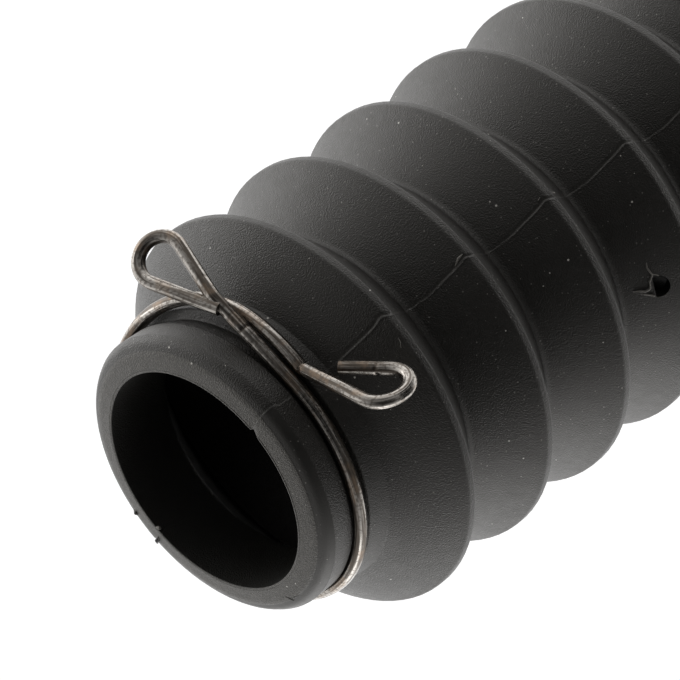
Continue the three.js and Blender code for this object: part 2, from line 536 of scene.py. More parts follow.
@dataclass
class BellowsBoot:
    """The moulded rubber boot."""

    neck: NeckSizes = field(default_factory=NeckSizes)
    folds: FoldSizes = field(default_factory=FoldSizes)
    cuff: CuffSizes = field(default_factory=CuffSizes)
    drain: DrainHole = field(default_factory=DrainHole)
    parting: PartingLine = field(default_factory=PartingLine)
    points_around: int = 160
    seam_crowding: float = 0.875

    @property
    def first_crest(self) -> float:
        """The depth of the first crest."""
        return self.neck.shoulder_end + self.folds.first_flank

    @property
    def last_crest(self) -> float:
        """The depth of the last crest."""
        return self.first_crest + (self.folds.count - 1) * self.folds.pitch

    @property
    def cuff_start(self) -> float:
        """The depth at which the last back flank meets the cuff."""
        outside = self.cuff.bore / 2 + self.cuff.wall
        return self.last_crest + self.folds.land / 2 + (self.folds.crest - outside) / self.folds.slope

    @property
    def length(self) -> float:
        """The whole length, from the clamped end's face to the wide end's."""
        return self.cuff_start + self.cuff.length

    def neck_outside(self) -> list[Vector]:
        """The outline from the bore's edge over the lip and the groove to the first crest.

        Returns:
            The outline's points.
        """
        neck, folds = self.neck, self.folds
        bead = neck.bore / 2 + neck.bead_width
        lip = neck.groove_radius + neck.lip_proud
        groove_end = neck.lip_length + neck.groove_width
        return rounded([
            Corner(neck.bore / 2, neck.bore_length / 2),
            Corner(neck.bore / 2, 0, 0.1, 2),
            Corner(bead, 0, 0.08, 2),
            Corner(bead + neck.bead_gap / 2, neck.bead_depth, 0.05, 1),
            Corner(bead + neck.bead_gap, 0.05, 0.08, 2),
            Corner(*neck.mouth_turn, 4, 5),
            Corner(*neck.lip_brow, 2, 4),
            Corner(lip + 0.1, neck.lip_lead, 0.5, 4),
            Corner(lip, neck.lip_length, 0.25, 3),
            Corner(neck.groove_radius, neck.lip_length + neck.lip_proud / 2, 0.2, 2),
            Corner(neck.groove_radius, groove_end, 0.2, 2),
            Corner(neck.groove_radius + neck.shoulder_root_rise, groove_end + neck.shoulder_root, 0.3, 3),
            Corner(neck.groove_radius + neck.shoulder_rise, neck.shoulder_end, 0.3, 3),
            Corner(folds.crest, self.first_crest - folds.land / 2, folds.front_round, 7),
            Corner(folds.crest, self.first_crest),
        ], support=0.15, longest=0.6)

    def fold_outside(self) -> list[Vector]:
        """The outline from the first crest through one valley to the next crest.

        Returns:
            The outline's points.
        """
        folds = self.folds
        crest = self.first_crest
        return rounded([
            Corner(folds.crest, crest),
            Corner(folds.crest, crest + folds.land / 2, folds.back_round, 3),
            Corner(folds.valley, crest + folds.back_flank, folds.valley_round, 5),
            Corner(folds.crest, crest + folds.pitch - folds.land / 2, folds.front_round, 7),
            Corner(folds.crest, crest + folds.pitch),
        ], longest=1.2)

    def cuff_outside(self) -> list[Vector]:
        """The outline from the last crest to the middle of the wide end's face.

        Returns:
            The outline's points.
        """
        folds, cuff = self.folds, self.cuff
        outside = cuff.bore / 2 + cuff.wall
        rim = outside + cuff.rim_proud
        return rounded([
            Corner(folds.crest, self.last_crest),
            Corner(folds.crest, self.last_crest + folds.land / 2, folds.back_round, 3),
            Corner(outside, self.cuff_start, 1, 4),
            Corner(outside, self.length - cuff.rim_length, 0.4, 2),
            Corner(rim, self.length - cuff.rim_length + cuff.rim_proud, 0.4, 2),
            Corner(rim, self.length - cuff.rim_lead, 0.8, 3),
            Corner(outside, self.length, 0.4, 2),
            Corner(outside - cuff.wall / 2, self.length),
        ], longest=4)

    def cuff_inside(self) -> list[Vector]:
        """The outline from the middle of the wide end's face up to the inside of the last crest.

        Returns:
            The outline's points.
        """
        folds, cuff = self.folds, self.cuff
        return rounded([
            Corner((cuff.bore + cuff.wall) / 2, self.length),
            Corner(cuff.bore / 2, self.length, 0.4, 2),
            Corner(cuff.bore / 2, self.cuff_start + cuff.wall / 2, 1, 3),
            Corner(folds.crest - folds.wall_across, self.last_crest),
        ], longest=4)

    def fold_inside(self) -> list[Vector]:
        """The outline from the inside of the second crest up to the inside of the first.

        Returns:
            The outline's points.
        """
        folds = self.folds
        crest = folds.crest - folds.wall_across
        valley = folds.valley - folds.wall_across
        below = self.first_crest + folds.pitch
        return rounded([
            Corner(crest, below),
            Corner(valley, below - folds.front_flank, folds.valley_round + folds.wall, 3),
            Corner(crest, self.first_crest),
        ], longest=5)

    def neck_inside(self) -> list[Vector]:
        """The outline from the inside of the first crest up into the bore.

        Returns:
            The outline's points.
        """
        folds, neck = self.folds, self.neck
        return rounded([
            Corner(folds.crest - folds.wall_across, self.first_crest),
            Corner(neck.bore / 2, neck.bore_length, 1, 4),
            Corner(neck.bore / 2, neck.bore_length / 2),
        ], longest=2.5)

    def zone(self, point: Vector, outside: bool) -> tuple[float, float, float]:
        """Finds which of the surface's zones a point of the outline is in.

        Args:
            point: the point as (radius, depth).
            outside: whether the point is on the outside of the wall.

        Returns:
            1 for the zone that it is in, of the inside, the flat mouth and the bevel round the mouth.
        """
        neck = self.neck
        if not outside or point.x < neck.bore / 2 + neck.bore_margin:
            return (1.0, 0.0, 0.0)
        if point.y > neck.lip_lead:
            return (0.0, 0.0, 0.0)
        on_mouth = point.x < neck.mouth_turn[0] + neck.mouth_margin
        return (0.0, 1.0, 0.0) if on_mouth else (0.0, 0.0, 1.0)

    def outline(self) -> bpy.types.Object:
        """The flat outline that the turning tree reads.

        Returns:
            An object of points and edges in the XZ plane. The attribute repeats marks the lengths that
            every fold shares, parting holds the parting line's wander and the height of its flash in
            metres, and zones holds the surface's zones.
        """
        mesh = bpy.data.meshes.new("boot_outline")
        places: list[tuple[float, float, float]] = []
        edges: list[tuple[int, int]] = []
        repeats: list[bool] = []
        parting: list[float] = []
        zones: list[float] = []
        lengths = (
            (self.neck_outside(), False, True),
            (self.fold_outside(), True, True),
            (self.cuff_outside(), False, True),
            (self.cuff_inside(), False, False),
            (self.fold_inside(), True, False),
            (self.neck_inside(), False, False),
        )
        for points, shared, outside in lengths:
            first = len(places)
            places += [(p.x * MM, 0.0, (self.length - p.y) * MM) for p in points]
            edges += [(first + step, first + step + 1) for step in range(len(points) - 1)]
            repeats += [shared] * len(points)
            for point in points:
                wander, height = self.parting.at(self.parting.neck, point.y)
                if point.y > self.first_crest:
                    below_crest = (point.y - self.first_crest) % self.folds.pitch
                    wander, height = self.parting.at(self.parting.fold, below_crest)
                flashed = outside and point.y < self.cuff_start
                parting += [wander * MM, height * MM if flashed else 0.0, 0.0]
                zones += self.zone(point, outside)
        mesh.from_pydata(places, edges, [])
        mesh.attributes.new("repeats", "BOOLEAN", "POINT").data.foreach_set("value", repeats)
        mesh.attributes.new("parting", "FLOAT_VECTOR", "POINT").data.foreach_set("vector", parting)
        mesh.attributes.new("zones", "FLOAT_VECTOR", "POINT").data.foreach_set("vector", zones)
        return place_object("bellows_rubber", mesh)

    def turning_tree(self) -> bpy.types.NodeTree:
        """The geometry tree that repeats the folds' outline, turns it round the axis and raises the flash.

        Returns:
            The tree, with named inputs for its sizes.
        """
        tree = new_group("boot_turning", "GeometryNodeTree", (
            ("Geometry", "INPUT", "NodeSocketGeometry", None),
            ("Fold Count", "INPUT", "NodeSocketInt", 9),
            ("Fold Pitch", "INPUT", "NodeSocketFloat", 0.017),
            ("Points Around", "INPUT", "NodeSocketInt", 160),
            ("Seam Azimuth", "INPUT", "NodeSocketFloat", 0.0),
            ("Seam Crowding", "INPUT", "NodeSocketFloat", 0.875),
            ("Length", "INPUT", "NodeSocketFloat", 0.1775),
            ("Flash Top", "INPUT", "NodeSocketFloat", 0.0001),
            ("Gentle Side", "INPUT", "NodeSocketFloat", 0.0006),
            ("Rubber", "INPUT", "NodeSocketMaterial", None),
            ("Geometry", "OUTPUT", "NodeSocketGeometry", None),
        ))
        sheet = NodeSheet(tree)
        given = sheet.place("NodeGroupInput").outputs
        curve = self.whole_outline(sheet, given)
        seamed = self.raise_flash(sheet, given, self.turned(sheet, given, curve))
        leaned = NeckLean().apply(sheet, self.trim_nick(sheet, given, seamed))
        smooth = sheet.place("GeometryNodeSetShadeSmooth", {"Geometry": leaned})
        whole = sheet.place("GeometryNodeRealizeInstances", {0: smooth.outputs[0]})
        coat = {"Geometry": whole.outputs[0], "Material": given["Rubber"]}
        done = sheet.place("GeometryNodeSetMaterial", coat)
        sheet.place("NodeGroupOutput", {0: done.outputs[0]})
        return tree

    def whole_outline(self, sheet: NodeSheet, given: bpy.types.NodeOutputs) -> bpy.types.NodeSocket:
        """Repeats the lengths that the folds share and closes the outline.

        Args:
            sheet: the tree being laid out.
            given: the tree's inputs.

        Returns:
            The outline as one closed curve.
        """
        repeats = sheet.read("repeats", "BOOLEAN")
        lengths = sheet.place("GeometryNodeSeparateGeometry", {0: given["Geometry"], 1: repeats})
        drop = sheet.place("ShaderNodeCombineXYZ", {2: sheet.math("MULTIPLY", given["Fold Pitch"], -1.0)})
        places = sheet.place("GeometryNodeMeshLine", {
            "Count": sheet.math("SUBTRACT", given["Fold Count"], 1.0),
            "Offset": drop.outputs[0],
        })
        folds = sheet.place("GeometryNodeInstanceOnPoints", {
            "Points": places.outputs[0],
            "Instance": lengths.outputs[0],
        })
        real_folds = sheet.place("GeometryNodeRealizeInstances", {0: folds.outputs[0]})
        chain = sheet.place("GeometryNodeJoinGeometry", {0: lengths.outputs[1]})
        sheet.feed(chain.inputs[0], real_folds.outputs[0])
        joints = {"Geometry": chain.outputs[0], "Distance": MERGE_REACH}
        closed = sheet.place("GeometryNodeMergeByDistance", joints)
        return sheet.place("GeometryNodeMeshToCurve", {"Mesh": closed.outputs[0]}).outputs[0]

    def turned(self, sheet: NodeSheet, given: bpy.types.NodeOutputs,
               curve: bpy.types.NodeSocket) -> bpy.types.NodeSocket:
        """Turns the outline round the axis, its points crowded at the parting lines and following them.

        Args:
            sheet: the tree being laid out.
            given: the tree's inputs.
            curve: the closed outline.

        Returns:
            The turned skin. Its attribute aside holds how far each point is from the parting plane.
        """
        size = sheet.place("GeometryNodeAttributeDomainSize", {0: curve}, component="CURVE")
        count = size.outputs["Point Count"]
        grid = sheet.place("GeometryNodeMeshGrid", {
            "Size X": 1.0,
            "Size Y": 1.0,
            "Vertices X": sheet.math("ADD", given["Points Around"], 1.0),
            "Vertices Y": sheet.math("ADD", count, 1.0),
        }).outputs["Mesh"]
        column, line, _ = sheet.parts(sheet.position())
        row = sheet.math("ROUND", sheet.math("MULTIPLY", sheet.math("ADD", line, 0.5), count))
        index = sheet.math("MODULO", row, count)
        radius, _, height = sheet.parts(sheet.sample(curve, sheet.position(), index))
        parting = sheet.sample(curve, sheet.read("parting", "FLOAT_VECTOR"), index)
        zones = sheet.sample(curve, sheet.read("zones", "FLOAT_VECTOR"), index)
        share = sheet.math("MULTIPLY", sheet.math("ADD", column, 0.5), math.tau)
        crowd = sheet.math("MULTIPLY", sheet.math("SINE", sheet.math("MULTIPLY", share, 2.0)),
                           sheet.math("MULTIPLY", given["Seam Crowding"], -0.5))
        plain = sheet.math("ADD", share, crowd)
        carried = sheet.store(grid, "parting", parting, "FLOAT_VECTOR")
        carried = sheet.store(carried, "zones", zones, "FLOAT_VECTOR")
        carried = sheet.store(carried, "aside", sheet.math("MULTIPLY", radius, sheet.math("SINE", plain)))
        facing = sheet.math("COSINE", share)
        nearness = sheet.math("POWER", sheet.math("ABSOLUTE", facing), self.parting.swing_power)
        pull = sheet.math("MULTIPLY", nearness, sheet.math("SIGN", facing))
        wander = sheet.parts(parting)[0]
        swing = sheet.math("DIVIDE", sheet.math("MULTIPLY", wander, pull), radius)
        turn = sheet.math("ADD", sheet.math("ADD", plain, swing), given["Seam Azimuth"])
        place = sheet.place("ShaderNodeCombineXYZ", {
            0: sheet.math("MULTIPLY", radius, sheet.math("COSINE", turn)),
            1: sheet.math("MULTIPLY", radius, sheet.math("SINE", turn)),
            2: height,
        })
        shell = sheet.place("GeometryNodeSetPosition", {"Geometry": carried, "Position": place.outputs[0]})
        inputs = {"Geometry": shell.outputs[0], "Distance": MERGE_REACH}
        return sheet.place("GeometryNodeMergeByDistance", inputs).outputs[0]

    def raise_flash(self, sheet: NodeSheet, given: bpy.types.NodeOutputs,
                    skin: bpy.types.NodeSocket) -> bpy.types.NodeSocket:
        """Raises a ragged line of flash where the two halves of the mould met.

        Args:
            sheet: the tree being laid out.
            given: the tree's inputs.
            skin: the turned skin.

        Returns:
            The skin with its flash. Its attribute seam holds the flash's height, for the dust and the painted
            highlight on it.
        """
        line = self.parting
        aside = sheet.read("aside")
        flash = sheet.parts(sheet.read("parting", "FLOAT_VECTOR"))[1]
        start, bottom, end = (edge * MM for edge in line.gutter)
        rising = sheet.span(aside, end, 0.0)
        into, out_of = sheet.span(aside, start, bottom), sheet.span(aside, bottom, end, 1.0, 0.0)
        gutter = sheet.math("MULTIPLY", into, out_of)
        falling = sheet.span(aside, given["Flash Top"], given["Gentle Side"], 1.0, 0.0)
        ridge = sheet.math("MULTIPLY", rising, falling)
        noise = {"Vector": sheet.position(), "Scale": line.fray_per_metre, "Detail": 2.0}
        ragged = sheet.place("ShaderNodeTexNoise", noise).outputs[0]
        fray = sheet.span(ragged, *line.frayed_between, *line.fray)
        form = sheet.math("ADD", ridge, sheet.math("MULTIPLY", gutter, -line.gutter_share))
        height = sheet.math("MULTIPLY", sheet.math("MULTIPLY", flash, form), fray)
        seam = sheet.math("MULTIPLY", height, 1.0 / (line.full_seam * MM))
        return sheet.swell(sheet.store(skin, "seam", seam), height)

    def trim_nick(self, sheet: NodeSheet, given: bpy.types.NodeOutputs,
                  skin: bpy.types.NodeSocket) -> bpy.types.NodeSocket:
        """Trims a small facet off the mouth's inner edge beside the parting line.

        Args:
            sheet: the tree being laid out.
            given: the tree's inputs.
            skin: the skin with its flash.

        Returns:
            The skin with its nick.
        """
        line = self.parting
        position = sheet.position()
        towards_seam = round_axis(line.azimuth, 1.0, 0.0)
        near_half = sheet.vector("DOT_PRODUCT", position, towards_seam, result=1)
        aside = sheet.read("aside")
        one_side = sheet.span(aside, -line.nick_side * MM, 0.0, 1.0, 0.0)
        beside = sheet.math("MULTIPLY", one_side, sheet.math("GREATER_THAN", near_half, 0.0))
        level = sheet.vector("MULTIPLY", position, (1.0, 1.0, 0.0))
        reach = sheet.math("ADD", sheet.vector("LENGTH", level, result=1), sheet.math("ABSOLUTE", aside))
        inner, outer = (line.nick_reach - line.nick_width) * MM, line.nick_reach * MM
        facet = {0: reach, 1: inner, 2: outer, 3: line.nick_depth * MM, 4: 0.0}
        slope = sheet.place("ShaderNodeMapRange", facet).outputs[0]
        depth = sheet.math("SUBTRACT", given["Length"], sheet.parts(position)[2])
        cut = sheet.math("MAXIMUM", sheet.math("SUBTRACT", slope, depth), 0.0)
        sink = sheet.math("MULTIPLY", sheet.math("MULTIPLY", cut, beside), -1.0)
        return sheet.shift(skin, sheet.place("ShaderNodeCombineXYZ", {2: sink}).outputs[0])

    def cutter(self, rubber: bpy.types.Material) -> bpy.types.Object:
        """Makes the pin that cuts the drain hole, square to its flank, with one side flattened.

        Args:
            rubber: the boot's material, which the hole's wall takes from the pin.

        Returns:
            The pin.
        """
        folds, drain = self.folds, self.drain
        radius = self.flank_radius(drain.depth)
        tilt = math.atan2(folds.crest - folds.valley, folds.front_flank)
        out = round_axis(drain.azimuth, 1, 0)
        along = (out * math.cos(tilt) + Vector((0, 0, math.sin(tilt)))).normalized()
        sideways = Vector((0, 0, 1)).cross(out)
        upward = along.cross(sideways)
        centre = out * radius + Vector((0, 0, self.length - drain.depth))
        form = bmesh.new()
        rings = []
        for reach in (-drain.half_length, drain.half_length):
            ring = []
            for step in range(drain.sides):
                angle = math.tau * step / drain.sides
                aside = math.cos(angle) * drain.width / 2
                rise = min(math.sin(angle), drain.flat_at) * drain.width / 2
                ring.append(form.verts.new((centre + along * reach + sideways * aside + upward * rise) * MM))
            rings.append(ring)
        form.faces.new(rings[0][::-1])
        form.faces.new(rings[1])
        for step in range(drain.sides):
            after = (step + 1) % drain.sides
            form.faces.new((rings[0][step], rings[0][after], rings[1][after], rings[1][step]))
        bmesh.ops.recalc_face_normals(form, faces=form.faces)
        mesh = bpy.data.meshes.new("drain_pin")
        form.to_mesh(mesh)
        form.free()
        mesh.materials.append(rubber)
        # the hole's wall counts as inside, so it takes the inside's painted shade
        zones = mesh.attributes.new("zones", "FLOAT_VECTOR", "POINT")
        zones.data.foreach_set("vector", (1.0, 0.0, 0.0) * len(mesh.vertices))
        return place_object("drain_pin", mesh)

    def flank_radius(self, depth: float) -> float:
        """The outside radius at a depth on a front flank.

        Args:
            depth: the depth, anywhere between a valley and the next crest.

        Returns:
            The radius.
        """
        folds = self.folds
        below_crest = (depth - self.first_crest) % folds.pitch
        share = (below_crest - folds.back_flank) / folds.front_flank
        return folds.valley + (folds.crest - folds.valley) * share

    def build(self, rubber: bpy.types.Material, torn: bpy.types.Material) -> bpy.types.Object:
        """Turns the boot, cuts its drain hole, adds its torn flash and hands it over.

        Args:
            rubber: the boot's material.
            torn: the material of the pale torn shreds.

        Returns:
            The boot, riding on the part's one body in place of its CAD node.
        """
        boot = run_tree(self.outline(), self.turning_tree(), {
            "Fold Count": self.folds.count,
            "Fold Pitch": self.folds.pitch * MM,
            "Points Around": self.points_around,
            "Seam Azimuth": math.radians(self.parting.azimuth),
            "Seam Crowding": self.seam_crowding,
            "Length": self.length * MM,
            "Flash Top": self.parting.top * MM,
            "Gentle Side": self.parting.gentle_side * MM,
            "Rubber": rubber,
        })
        pin = self.cutter(rubber)
        cut = boot.modifiers.new("drain_hole", "BOOLEAN")
        cut.operation = "DIFFERENCE"
        cut.solver = "EXACT"
        cut.object = pin
        keep_result(boot)
        bpy.data.objects.remove(pin)
        shreds = TornFlash(self.length).build(torn, rubber)
        with bpy.context.temp_override(active_object=boot, selected_editable_objects=[boot, *shreds]):
            bpy.ops.object.join()
        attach(boot, "root")
        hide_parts("bellows_boot")
        return boot


@dataclass(frozen=True)
class RoundStock:
    """Round stock, a wire or a shred of rubber, drawn along a path.

    Each cut is a place along it, a half width and a depth, and frays where a noise is high. At the depth
    full_cut it is wholly dark. An edge sharper than crisp_angle, in radians, is shaded sharp.
    """

    name: str
    radius: float
    ring_step: float
    points_round: int
    cuts: tuple[tuple[float, float, float], ...] = ()
    fray_per_metre: float = 900.0
    frayed_between: tuple[float, float] = (0.38, 0.64)
    full_cut: float = 0.1
    crisp_angle: float = 0.8

    def tree(self) -> bpy.types.NodeTree:
        """The geometry tree that draws the stock.

        Returns:
            The tree. It stores the length along the stock as along, the place round it as spoke, and the
            share of a cut's depth as cut. It reads the path's girth.
        """
        tree = new_group(f"{self.name}_drawing", "GeometryNodeTree", (
            ("Geometry", "INPUT", "NodeSocketGeometry", None),
            ("Radius", "INPUT", "NodeSocketFloat", 0.001),
            ("Ring Step", "INPUT", "NodeSocketFloat", 0.0004),
            ("Points Round", "INPUT", "NodeSocketInt", 28),
            ("Material", "INPUT", "NodeSocketMaterial", None),
            ("Geometry", "OUTPUT", "NodeSocketGeometry", None),
        ))
        sheet = NodeSheet(tree)
        given = sheet.place("NodeGroupInput").outputs
        line = sheet.place("GeometryNodeMeshToCurve", {"Mesh": given["Geometry"]}).outputs[0]
        steps = {"Curve": line, "Length": given["Ring Step"]}
        stepped = sheet.place("GeometryNodeResampleCurve", steps, mode="LENGTH").outputs[0]
        run = sheet.store(stepped, "along", sheet.place("GeometryNodeSplineParameter").outputs["Length"])
        circle = sheet.place("GeometryNodeCurvePrimitiveCircle", {
            "Resolution": given["Points Round"],
            "Radius": given["Radius"],
        }).outputs[0]
        section = sheet.store(circle, "spoke", sheet.position(), "FLOAT_VECTOR")
        tube = sheet.place("GeometryNodeCurveToMesh", {
            "Curve": run,
            "Profile Curve": section,
            "Scale": sheet.read("girth"),
            "Fill Caps": True,
        })
        smooth = sheet.place("GeometryNodeSetShadeSmooth", {"Geometry": tube.outputs[0]})
        edge = {0: sheet.place("GeometryNodeInputMeshEdgeAngle").outputs[0], 1: self.crisp_angle}
        crisp = sheet.place("GeometryNodeSetShadeSmooth", {
            "Geometry": smooth.outputs[0],
            "Selection": sheet.place("FunctionNodeCompare", edge, operation="GREATER_THAN").outputs[0],
            "Shade Smooth": False,
        }, domain="EDGE")
        leaned = NeckLean().apply(sheet, self.cut(sheet, crisp.outputs[0]))
        whole = sheet.place("GeometryNodeRealizeInstances", {0: leaned})
        coat = {"Geometry": whole.outputs[0], "Material": given["Material"]}
        done = sheet.place("GeometryNodeSetMaterial", coat)
        sheet.place("NodeGroupOutput", {0: done.outputs[0]})
        return tree

    def cut(self, sheet: NodeSheet, skin: bpy.types.NodeSocket) -> bpy.types.NodeSocket:
        """Sinks the cuts into the stock, each ragged by a noise.

        Args:
            sheet: the tree being laid out.
            skin: the stock's skin.

        Returns:
            The skin with its cuts. Its attribute cut holds their share of full_cut.
        """
        along = sheet.read("along")
        noise = {"Vector": sheet.position(), "Scale": self.fray_per_metre, "Detail": 1.0}
        ragged = sheet.place("ShaderNodeTexNoise", noise).outputs[0]
        depth: object = 0.0
        for place, half_width, deep in self.cuts:
            off = sheet.math("ABSOLUTE", sheet.math("SUBTRACT", along, place * MM))
            depth = sheet.math("ADD", depth, sheet.span(off, 0.0, half_width * MM, deep * MM, 0.0))
        frayed = sheet.math("MULTIPLY", depth, sheet.span(ragged, *self.frayed_between))
        share = sheet.math("MULTIPLY", frayed, 1.0 / (self.full_cut * MM))
        return sheet.swell(sheet.store(skin, "cut", share), sheet.math("MULTIPLY", frayed, -1.0))

    def draw(self, path: Sequence[Vector], girths: Sequence[float],
             material: bpy.types.Material) -> bpy.types.Object:
        """Draws the stock along one path.

        Args:
            path: the middle line's points.
            girths: the share of the full radius at each point.
            material: the stock's material.

        Returns:
            The finished object.
        """
        mesh = bpy.data.meshes.new(f"{self.name}_path")
        edges = [(step, step + 1) for step in range(len(path) - 1)]
        mesh.from_pydata([point * MM for point in path], edges, [])
        mesh.attributes.new("girth", "FLOAT", "POINT").data.foreach_set("value", girths)
        return run_tree(place_object(self.name, mesh), self.tree(), {
            "Radius": self.radius * MM,
            "Ring Step": self.ring_step * MM,
            "Points Round": self.points_round,
            "Material": material,
        })


@dataclass(frozen=True)
class Scrap:
    """A shred of torn or trimmed flash: its radius, and its path as (azimuth, radius, depth)."""

    name: str
    girth: float
    pale: bool
    path: tuple[tuple[float, float, float], ...]


@dataclass(frozen=True)
class TornFlash:
    """The shreds of rubber left at the drain hole and along the parting lines.

    thin_end is a shred's girth at its ends, as a share of its full girth.
    """

    length: float
    ring_step: float = 0.12
    points_round: int = 10
    thin_end: float = 0.45
    scraps: tuple[Scrap, ...] = (
        Scrap("drain_strand", 0.15, True, (
            (-61.2, 27.4, 66.25), (-62.8, 27.4, 66.0), (-64.2, 27.6, 66.15), (-65.4, 27.7, 66.3),
            (-67.2, 27.35, 65.8), (-68.8, 27.3, 65.75), (-69.7, 27.2, 65.6), (-70.1, 26.8, 65.1),
            (-69.5, 26.25, 64.5), (-69.3, 25.45, 63.9),
        )),
        Scrap("drain_tail", 0.13, True, (
            (-70.2, 26.0, 64.7), (-70.9, 26.5, 64.9), (-71.4, 26.8, 65.3), (-72.3, 27.4, 66.0),
            (-73.2, 27.2, 66.4),
        )),
        Scrap("drain_wisp", 0.08, True, (
            (-65.2, 27.5, 66.3), (-65.8, 27.9, 66.8), (-66.4, 28.1, 67.1), (-66.2, 28.0, 67.5),
        )),
        Scrap("crest_scratch", 0.07, True, (
            (-35.2, 31.0, 18.95), (-36.5, 31.0, 18.8), (-37.9, 30.6, 18.55),
        )),
        Scrap("second_crest_wedge", 0.17, True, (
            (-28.8, 29.9, 34.9), (-27.8, 30.7, 35.6), (-27.7, 31.2, 36.4),
        )),
        Scrap("third_crest_fleck", 0.1, True, ((-27.6, 30.75, 52.8), (-27.3, 30.95, 53.2))),
        Scrap("third_crest_nub", 0.24, True, ((-27.9, 30.6, 55.6), (-28.5, 30.45, 56.0))),
        Scrap("first_valley_nub", 0.22, False, ((-71.0, 24.1, 27.6), (-71.9, 24.1, 27.85))),
        Scrap("second_valley_nub", 0.26, False, ((-63.8, 24.1, 44.9), (-64.8, 24.1, 45.2))),
        Scrap("far_bore_curl", 0.28, True, ((148.4, 17.75, 0.2), (149.6, 17.25, 0.15), (150.6, 17.4, 0.35))),
        Scrap("far_rim_tag", 0.32, False, ((152.4, 19.2, 0.35), (152.7, 20.0, 0.2), (153.3, 20.7, 0.4))),
        Scrap("far_rim_nub", 0.5, False, ((137.0, 20.5, 0.8), (138.7, 20.3, 0.6), (139.6, 20.2, 0.6))),
        Scrap("rim_cut", 0.1, False, ((-130.4, 19.8, 0.4), (-129.2, 20.4, 0.55), (-128.6, 20.9, 0.75))),
        Scrap("rim_cut_side", 0.09, False, (
            (-123.5, 20.65, 0.65), (-126.5, 20.5, 0.6), (-129.0, 20.6, 0.65),
        )),
    )

    def build(self, pale: bpy.types.Material, dark: bpy.types.Material) -> list[bpy.types.Object]:
        """Draws every shred, thinner at its ends.

        Args:
            pale: the torn surface's material.
            dark: the rubber's own material.

        Returns:
            The shreds, to be joined to the boot.
        """
        shreds = []
        for scrap in self.scraps:
            points = [round_axis(turn, radius, self.length - depth) for turn, radius, depth in scrap.path]
            girths = [self.thin_end, *[1.0] * (len(points) - 2), self.thin_end]
            stock = RoundStock(scrap.name, scrap.girth, self.ring_step, self.points_round)
            shreds.append(stock.draw(points, girths, pale if scrap.pale else dark))
        return shreds


@dataclass(frozen=True)
class EarShape:
    """One ear of the clip: a straight leg, a bend and a straight tail.

    It leaves the ring at an azimuth. splay leans it out, rise lifts it, tilt turns its loop about its leg,
    and turn is how far it bends. side is the side that it bends to, and sense the way it leaves round
    the ring.
    """

    azimuth: float
    leg: float
    bend_radius: float
    turn: float
    tail: float
    splay: float
    rise: float
    tilt: float
    side: int
    sense: int
    steps: int = 60


class Ear(Enum):
    """The two ears: the open hook and the closed loop."""

    HOOK = EarShape(-24.5, 12.3, 3.61, 211.7, 7, 35.8, 5.6, 4.4, -1, -1)
    LOOP = EarShape(9.6, 9.16, 3.39, 213.1, 11.18, 29.4, -14.9, 45.3, 1, 1)


